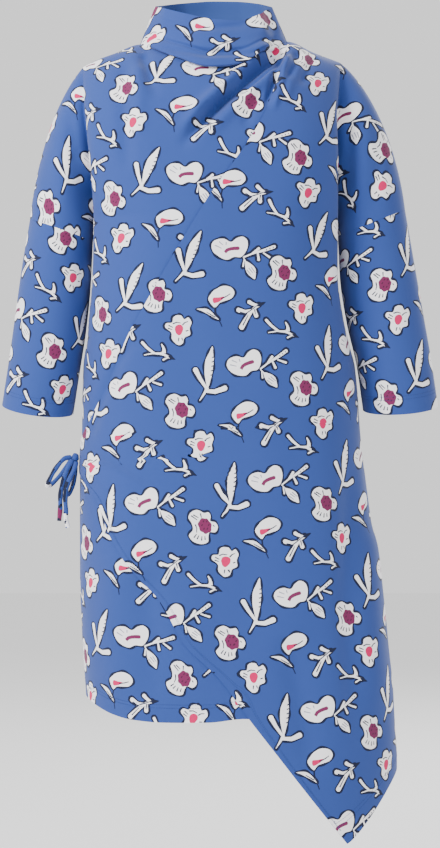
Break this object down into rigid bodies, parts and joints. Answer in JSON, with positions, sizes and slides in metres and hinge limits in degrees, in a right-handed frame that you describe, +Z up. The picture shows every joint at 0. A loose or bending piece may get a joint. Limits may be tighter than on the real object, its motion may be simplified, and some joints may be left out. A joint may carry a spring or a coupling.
{
  "type": "jersey wrap dress",
  "caption": "Hollow worn form of a tunic-length jersey wrap dress: draped funnel collar, three-quarter drop-shoulder sleeves, side tie and pointed asymmetric hem.",
  "frame": {"origin": "middle of the dress at the level where its shoulders meet the neck, in the plane of the side seams, where the wearer's shoulders hold it", "axes": "+Z up along the body, the front faces -Y, +X is to the right as seen from in front"},
  "size_m": [0.61, 0.2658, 1.1725],
  "materials": {
    "printed_jersey": "matt cotton jersey printed with white flowers on blue",
    "tie_jersey": "matt tube of the same printed jersey"
  },
  "bodies": {
    "root": {"front_under": "printed_jersey", "front_wrap": "printed_jersey", "back": "printed_jersey", "sleeve_left": "printed_jersey", "sleeve_right": "printed_jersey", "tie_knot": "tie_jersey", "tie_loop_outer": "tie_jersey", "tie_loop_inner": "tie_jersey", "tie_tail_short": "tie_jersey", "tie_tail_long": "tie_jersey"}
  },
  "joints": []
}
